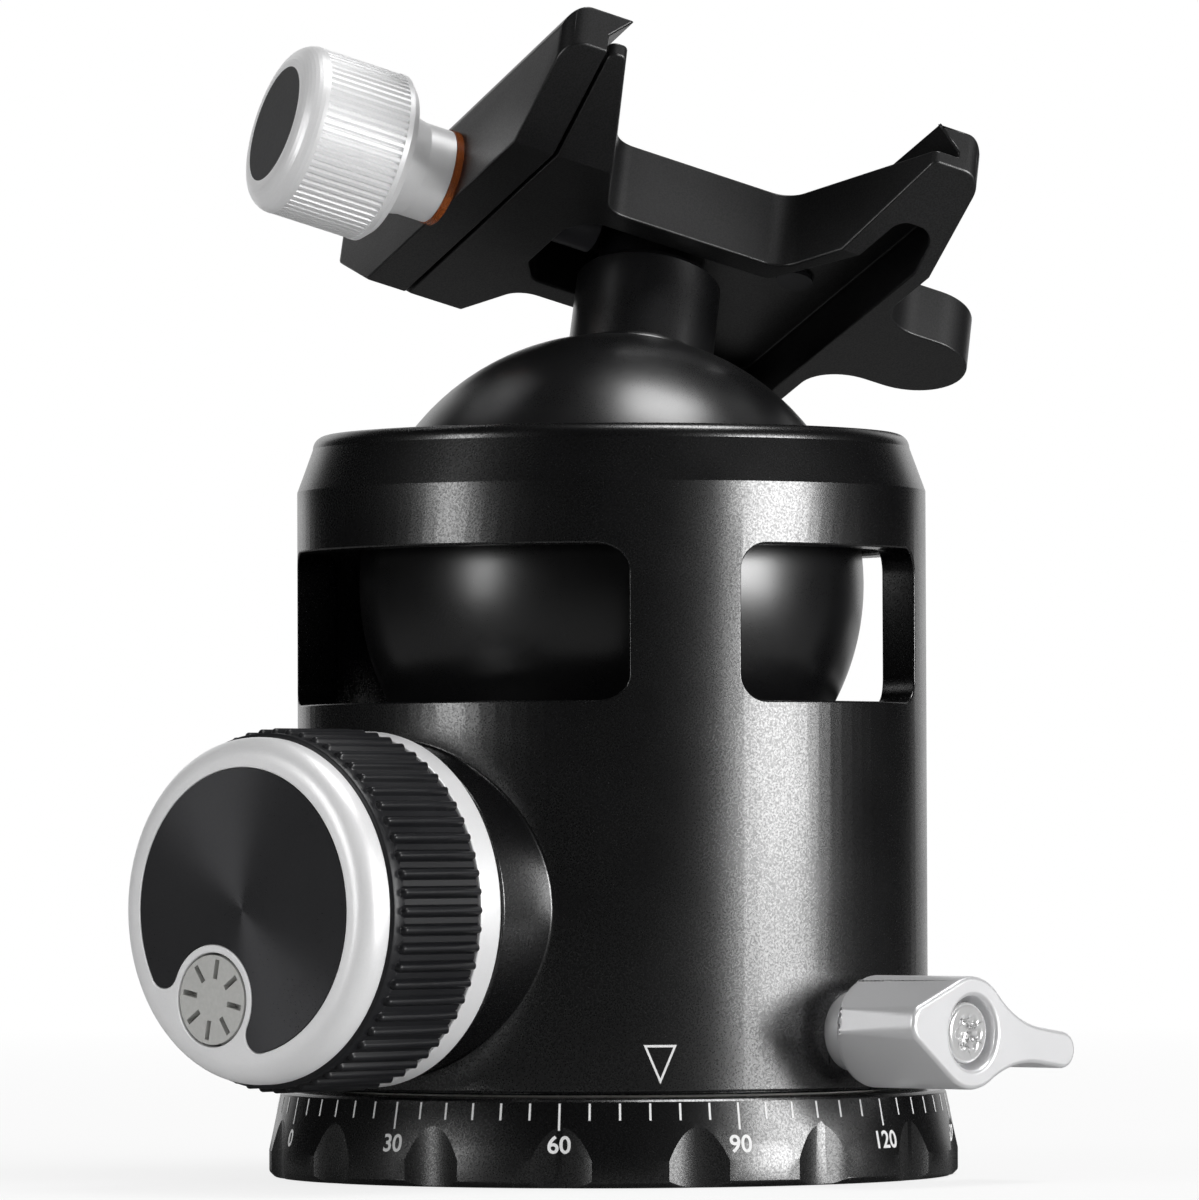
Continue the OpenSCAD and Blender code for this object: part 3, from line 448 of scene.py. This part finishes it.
white_ink = skinned("white_ink", dark=(0.7, 0.7, 0.7), light=(0.82, 0.82, 0.82),
    rough=(0.45, 0.6), grain=0.0003, bite=0.000002)
foot_wall = BVHTree.FromObject(foot, bpy.context.evaluated_depsgraph_get())
marks = bmesh.new()
for degree in range(0, 360, tick_every):
    low = long_tick_low if degree % number_every == 0 else tick_low
    tick = bmesh.new()
    bmesh.ops.create_grid(tick, x_segments=1, y_segments=tick_rows, size=0.5)
    bmesh.ops.scale(tick, verts=tick.verts, vec=(tick_w, tick_top - low, 1))
    thickened(tick, ink_t)
    wrapped(tick, foot_wall, zero_at + degree, (tick_top + low) / 2)
    joined_into(marks, tick)
for degree in range(0, 360, number_every):
    number = flat_number(str(degree))
    bmesh.ops.scale(number, verts=number.verts, vec=(number_h, number_h, 1))
    sliced(number, *number_half)
    thickened(number, ink_t)
    wrapped(number, foot_wall, zero_at + degree, number_z)
    joined_into(marks, number)
scale_marks = made("scale_marks", marks, white_ink)
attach(scale_marks, "pan_base")

# ---- Pan bearing ----
# The head turns on a post of bare aluminium, on a collar that runs between two slip rings of white nylon.
# A ring that four screws hold down keeps it on the post.
turned_aluminium = skinned("turned_aluminium", dark=(0.5, 0.5, 0.52), light=(0.64, 0.64, 0.66),
    rough=(0.25, 0.4), grain=0.0005, bite=0.000002, metallic=1.0)
white_nylon = skinned("white_nylon", dark=(0.74, 0.73, 0.68), light=(0.86, 0.85, 0.81),
    rough=(0.4, 0.55), grain=0.0005, bite=0.000004)
finished(turned_aluminium, "pan_post", "retaining_ring", "bearing_collar")
finished(white_nylon, "lower_slip_washer", "upper_slip_washer")
finished(black_oxide, "retaining_screws")

# ---- Barrel ----
# The body of the head, machined from one piece with the boss for the main knob and a rim that closes
# over the ball. Three windows show the ball. It is blasted and anodised like the foot.
barrel_edge = 0.22
barrel_cuts = (12, 26, 41.5, 44.28, 59.32)
barrel_shape = worked("housing")
for height in barrel_cuts:
    bmesh.ops.bisect_plane(barrel_shape, dist=1e-6, plane_co=(0, 0, height * mm), plane_no=(0, 0, 1),
        geom=barrel_shape.verts[:] + barrel_shape.edges[:] + barrel_shape.faces[:])
barrel = eased("housing", made("barrel", barrel_shape, blasted_black), barrel_edge)
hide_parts("housing")
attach(barrel, "housing")

# ---- Index ----
# A triangle in outline, printed on the barrel in the same white ink, that points down at the scale.
# Its line is evenly wide and keeps inside the corners.
index_turn = -39.8
index_top = 13.0
index_low = 9.4
index_w = 3.3
index_line = 0.22
index_half = (2, 2.2)


def triangle_outline(wide, tall, line):
    """A flat outline of a triangle that points down, drawn with an even line inside its corners."""
    outer = [Vector((-wide / 2, tall / 2, 0)), Vector((0, -tall / 2, 0)), Vector((wide / 2, tall / 2, 0))]
    across = [(outer[(i + 1) % 3] - outer[(i + 2) % 3]).length for i in range(3)]
    middle = sum((length * corner for length, corner in zip(across, outer)), Vector()) / sum(across)
    shrink = 1 - line / (wide * tall / sum(across))
    outline = bmesh.new()
    outside = [outline.verts.new(corner) for corner in outer]
    inside = [outline.verts.new(middle + (corner - middle) * shrink) for corner in outer]
    for i in range(3):
        j = (i + 1) % 3
        outline.faces.new((outside[i], outside[j], inside[j], inside[i]))
    return outline


barrel_wall = BVHTree.FromObject(barrel, bpy.context.evaluated_depsgraph_get())
index = triangle_outline(index_w, index_top - index_low, index_line)
sliced(index, *index_half)
thickened(index, ink_t)
wrapped(index, barrel_wall, index_turn, (index_top + index_low) / 2)
index_mark = made("index_mark", index, white_ink)
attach(index_mark, "housing")

# ---- Inside the barrel ----
# A threaded brass sleeve in the boss carries the spindle, a wave of spring wire lifts the aluminium cup
# under the ball, and a brass shoe presses on the post when the pan lock is turned.
turned_brass = skinned("turned_brass", dark=(0.58, 0.42, 0.17), light=(0.74, 0.57, 0.28),
    rough=(0.22, 0.36), grain=0.0005, bite=0.000002, metallic=1.0)
finished(turned_brass, "spindle_bush", "pan_shoe")
finished(turned_steel, "lift_spring")
finished(turned_aluminium, "pressure_piston")

# ---- Ball ----
# The ball and its neck are turned from one bar, polished and anodised black, so they are smoother than
# the barrel round them.
silky_black = skinned("silky_black", dark=(0.0015, 0.0015, 0.0018), light=(0.004, 0.004, 0.0046),
    rough=(0.24, 0.36), grain=0.0001, bite=0.000002, specular=0.85, IOR=1.6)
finished(silky_black, "ball_stem")

# ---- Ball seats ----
# Two rings of black nylon are turned to the ball's radius. One lies above its middle and one below, and
# both slip round in the barrel's bore.
black_nylon = skinned("black_nylon", dark=(0.01, 0.01, 0.011), light=(0.02, 0.02, 0.022),
    rough=(0.4, 0.55), grain=0.0005, bite=0.000004)
finished(black_nylon, "upper_race", "lower_race")

# ---- Clamp ----
# The platform with its fixed jaw is milled from bar, with a waist that bares the neck, and anodised
# black. A steel bolt holds it on the neck, and a stop screw stands in the pocket below.
clamp_edge = 0.22
clamp_near = 0.04
satin_black = skinned("satin_black", dark=(0.001, 0.001, 0.0012), light=(0.004, 0.004, 0.0047),
    rough=(0.34, 0.44), grain=0.00016, bite=0.000006, specular=0.8, fleck=0.3, IOR=1.65)
clamp_shape = worked("clamp_body", clamp_near)
clamp = eased("clamp_body", made("clamp_platform", clamp_shape, satin_black), clamp_edge)
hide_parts("clamp_body")
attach(clamp, "clamp")
finished(turned_steel, "clamp_bolt")
finished(black_oxide, "stop_screw", "jaw_springs")

# ---- Level ----
# A clear yellow-green vial on a white backing is pressed into the clamp's ear. A black ring is printed on
# its top, and the bubble rests inside the ring.
ring_r = 2.2
ring_line = 0.35
bubble_r = 1.3
print_t = 0.01
print_sides = 64
backing_white = skinned("level_backing_white", dark=(0.8, 0.8, 0.77), light=(0.88, 0.88, 0.85),
    rough=(0.3, 0.4), grain=0.001, bite=0.000001)
vial_glass = skinned("vial_glass", dark=(0.66, 0.86, 0.2), light=(0.72, 0.9, 0.26),
    rough=(0.03, 0.06), grain=0.002, bite=0.0000005, Transmission_Weight=0.85, IOR=1.47)
bubble_light = skinned("bubble_light", dark=(0.8, 0.92, 0.5), light=(0.86, 0.96, 0.6),
    rough=(0.1, 0.15), grain=0.002, bite=0.0000005)
finished(backing_white, "level_backing")
finished(vial_glass, "level_vial")
vial = worked("level_vial")
vial_top = max((face for face in vial.faces if face.normal.z > 0), key=lambda face: face.calc_area())
vial_turn = vial_top.normal.to_track_quat("Z", "Y").to_matrix().to_4x4()
vial_place = Matrix.Translation(vial_top.calc_center_median()) @ vial_turn
vial.free()


def level_print(name, outer, inner, paint):
    """A flat disc or ring, in millimetres, laid on the vial's top."""
    disc = bmesh.new()
    bmesh.ops.create_circle(disc, cap_ends=True, segments=print_sides, radius=outer * mm)
    if inner:
        bmesh.ops.inset_region(disc, faces=disc.faces[:], thickness=(outer - inner) * mm, use_boundary=True)
        middle = max(disc.faces, key=lambda face: face.calc_area())
        bmesh.ops.delete(disc, geom=[middle], context="FACES")
    thickened(disc, print_t * mm)
    bmesh.ops.translate(disc, verts=disc.verts, vec=(0, 0, print_t * mm))
    bmesh.ops.transform(disc, matrix=vial_place, verts=disc.verts)
    piece = made(name, disc, paint)
    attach(piece, "clamp")


level_print("level_ring", ring_r, ring_r - ring_line, black_nylon)
level_print("level_bubble", bubble_r, 0, bubble_light)

# ---- Movable jaw ----
# The outer jaw is milled and anodised like the platform, rides on two guide pins and is drawn in by the
# clamp's screw. A washer of clear amber plastic lies between it and the knob.
jaw = eased("movable_jaw", made("outer_jaw", worked("movable_jaw", clamp_near), satin_black), clamp_edge)
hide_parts("movable_jaw")
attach(jaw, "jaw")
finished(black_oxide, "guide_pins")
clear_amber = skinned("clear_amber", dark=(0.5, 0.12, 0.03), light=(0.62, 0.18, 0.05),
    rough=(0.12, 0.2), grain=0.001, bite=0.000001, Transmission_Weight=0.6, IOR=1.5)
finished(clear_amber, "clamp_washer")

# ---- Clamp knob ----
# A drum turned from aluminium, with fine flutes and a smooth shoulder and neck, and anodised silver. It
# is fixed to a dark steel screw and has a dark cap in its end.
silver_satin = skinned("silver_satin", dark=(0.88, 0.88, 0.89), light=(1.0, 1.0, 1.0),
    rough=(0.34, 0.46), grain=0.00016, bite=0.000008, metallic=0.4)
dark_cap = skinned("dark_cap", dark=(0.012, 0.012, 0.013), light=(0.02, 0.02, 0.022),
    rough=(0.3, 0.4), grain=0.0003, bite=0.000003, specular=0.2)
finished(silver_satin, "clamp_knob")
finished(dark_cap, "clamp_knob_cap")
finished(black_oxide, "clamp_screw")

# ---- Main knob ----
# The core is turned from aluminium with a flange behind and a broad ring in front, and anodised silver.
# A screw holds it on the steel spindle, and a nylon washer lies behind it.
core_edge = 0.15
core = eased("knob_core", made("knob_body", worked("knob_core"), silver_satin), core_edge)
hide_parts("knob_core")
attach(core, "main_knob")
finished(turned_steel, "main_spindle")
finished(black_oxide, "knob_screw")
finished(white_nylon, "knob_washer")

# ---- Knob grip ----
# A sleeve of black rubber, moulded round the core between its flange and its ring. Its ribs run along it
# between shallow ditches, have round front ends, and stop short of a smooth lip.


def extents(node):
    """The least and the greatest corner of a node's own box, in metres."""
    spots = [vert.co for vert in nodes[node].data.vertices]
    return (Vector([min(spot[i] for spot in spots) for i in range(3)]),
        Vector([max(spot[i] for spot in spots) for i in range(3)]))


grip_low, grip_high = extents("knob_grip")
knob_z = (grip_low.z + grip_high.z) / 2
grip_r = (grip_high.z - grip_low.z) / 2
grip_front = -grip_low.y
grip_rear = -grip_high.y
grip_wall = 2.6 * mm
grip_bore_r = grip_r - grip_wall
grip_fit = 0.01 * mm
grip_crease = 50
grip_ribs = 60
rib_rise = 0.45 * mm
rib_half = 0.4 * mm
rib_ditch = 0.12 * mm
ditch_half = 0.1 * mm
ditch_end = rib_half + 2 * ditch_half
rib_lip = 1.1 * mm
rib_end = grip_front - rib_lip - rib_half
rib_end_steps = (0.6, 0.5, 0.4, 0.33, 0.22, 0.1, 0, -0.2)
rib_side_steps = (-0.6, -0.5, -0.4, -0.36, -0.27, -0.14, 0, 0.14, 0.27, 0.36, 0.4, 0.5, 0.6)
front_edge = 0.15 * mm
rear_edge = 0.1 * mm
edge_dip = 0.12 * mm


def rib_height(across, inward):
    """Height of the moulded skin at a place across a rib, and inward from the rib's round end."""
    away = sqrt(across ** 2 + min(inward, 0) ** 2)
    if away < rib_half:
        return rib_rise * sqrt(1 - (away / rib_half) ** 2)
    if away < ditch_end:
        return -rib_ditch * sin(pi * (away - rib_half) / (2 * ditch_half))
    return 0.0


def around_knob(radius, turn, depth):
    """A point of the main knob by radius, angle in degrees and distance from the barrel's axis."""
    return Vector((radius * cos(radians(turn)), -depth, knob_z + radius * sin(radians(turn))))


def ribbed_grip():
    """The sleeve as rings of points, from its front edge over the ribs to the rear, and back inside."""
    shape = bmesh.new()
    depths = [grip_front - grip_fit, grip_front - front_edge]
    depths += [rib_end + step * mm for step in rib_end_steps]
    depths += [grip_rear + rear_edge, grip_rear + grip_fit]
    pitch = 2 * pi * grip_r / grip_ribs
    turns = [(360 / grip_ribs * (i + step * mm / pitch), step * mm) for i in range(grip_ribs)
        for step in rib_side_steps]
    skin_r = grip_r - rib_rise - grip_fit
    rings = []
    for number, depth in enumerate(depths):
        base_r = skin_r - edge_dip if number in (0, len(depths) - 1) else skin_r
        inward = rib_end - depth
        ring = []
        for turn, across in turns:
            rise = rib_height(across, inward) if inward > -ditch_end else 0
            ring.append(shape.verts.new(around_knob(base_r + rise, turn, depth)))
        rings.append(ring)
    for depth in (grip_rear + grip_fit, grip_front - grip_fit):
        rings.append([shape.verts.new(around_knob(grip_bore_r, turn, depth)) for turn, across in turns])
    rings.append(rings[0])
    for ring, after in zip(rings, rings[1:]):
        for i in range(len(turns)):
            j = (i + 1) % len(turns)
            shape.faces.new((ring[i], ring[j], after[j], after[i]))
    bmesh.ops.recalc_face_normals(shape, faces=shape.faces)
    return shape


grip_rubber = skinned("grip_rubber", dark=(0.003, 0.0031, 0.004), light=(0.011, 0.0114, 0.014),
    rough=(0.34, 0.5), grain=0.00012, bite=0.00001, specular=0.6)
grip = made("rubber_grip", ribbed_grip(), grip_rubber, crease=grip_crease)
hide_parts("knob_grip")
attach(grip, "main_knob")

# ---- Knob face ----
# A black aluminium disc, spun on a lathe and let into the front ring. Its fine rings draw the light out
# into a fan on each side.
spun_black = skinned("spun_black", dark=(0.055, 0.055, 0.058), light=(0.08, 0.08, 0.084),
    rough=(0.26, 0.34), grain=0.0002, bite=0.000001, metallic=0.7, specular=0.3, Anisotropic=0.85)
spun_tree = spun_black.node_tree
spun_way = spun_tree.nodes.new("ShaderNodeTangent")
spun_way.direction_type = "RADIAL"
spun_way.axis = "Y"
spun_tree.links.new(spun_way.outputs["Tangent"], spun_tree.nodes["Principled BSDF"].inputs["Tangent"])
finished(spun_black, "knob_face")

# ---- Friction wheel ----
# A small wheel of clear plastic in the knob's face, on a dark screw, sets how stiff the ball is when the
# knob is loose. Eight grooves are moulded in it for the finger.
wheel_edge = 0.06
clear_smoke = skinned("clear_smoke", dark=(0.5, 0.5, 0.48), light=(0.74, 0.74, 0.72),
    rough=(0.1, 0.2), grain=0.0004, bite=0.000003, Transmission_Weight=0.25, IOR=1.5)
wheel_piece = made("damper_wheel", worked("friction_wheel"), clear_smoke)
damper_wheel = eased("friction_wheel", wheel_piece, wheel_edge)
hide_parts("friction_wheel")
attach(damper_wheel, "friction_wheel")
finished(black_oxide, "friction_screw")

# ---- Pan lock ----
# A pear-shaped lever, milled from bar with broad rounds on its heel and anodised silver. It stands on a
# round collar of the same finish and turns a steel spindle.
lever_edge = 0.45
lever_near = 0.06
heel_round = 1.0 * mm
heel_long = 3 * mm
heel_least = radians(30)
heel_most = radians(70)
lever_satin = skinned("lever_satin", dark=(0.88, 0.88, 0.89), light=(0.97, 0.97, 0.98),
    rough=(0.36, 0.46), grain=0.00012, bite=0.000004, metallic=0.65)
lever_shape = worked("pan_lever", lever_near)
heel_edges = [edge for edge in lever_shape.edges if edge.is_manifold and edge.calc_length() > heel_long and
    heel_least < edge.calc_face_angle() < heel_most]
bmesh.ops.bevel(lever_shape, geom=heel_edges, offset=heel_round, segments=6, profile=0.5, affect="EDGES",
    clamp_overlap=False)
lever = eased("pan_lever", made("lock_lever", lever_shape, lever_satin), lever_edge, sides=3)
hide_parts("pan_lever")
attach(lever, "pan_lever")
finished(lever_satin, "lever_collar")
finished(turned_steel, "lever_spindle")

# ---- Lever screw ----
# A chromed screw holds the lever on its spindle. A broad round at the edge of its head gives it a low
# dome, and a six-lobed socket is sunk in it.
dome_edge = 0.5
dome_over = 60
head_crease = 32
chrome = skinned("chrome", dark=(0.86, 0.86, 0.86), light=(0.95, 0.95, 0.95),
    rough=(0.16, 0.22), grain=0.0006, bite=0.0000005, metallic=0.6)
screw_piece = made("chromed_screw", worked("lever_screw"), chrome, crease=head_crease)
chromed_screw = eased("lever_screw", screw_piece, dome_edge, sides=4, over=dome_over)
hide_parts("lever_screw")
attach(chromed_screw, "pan_lever")
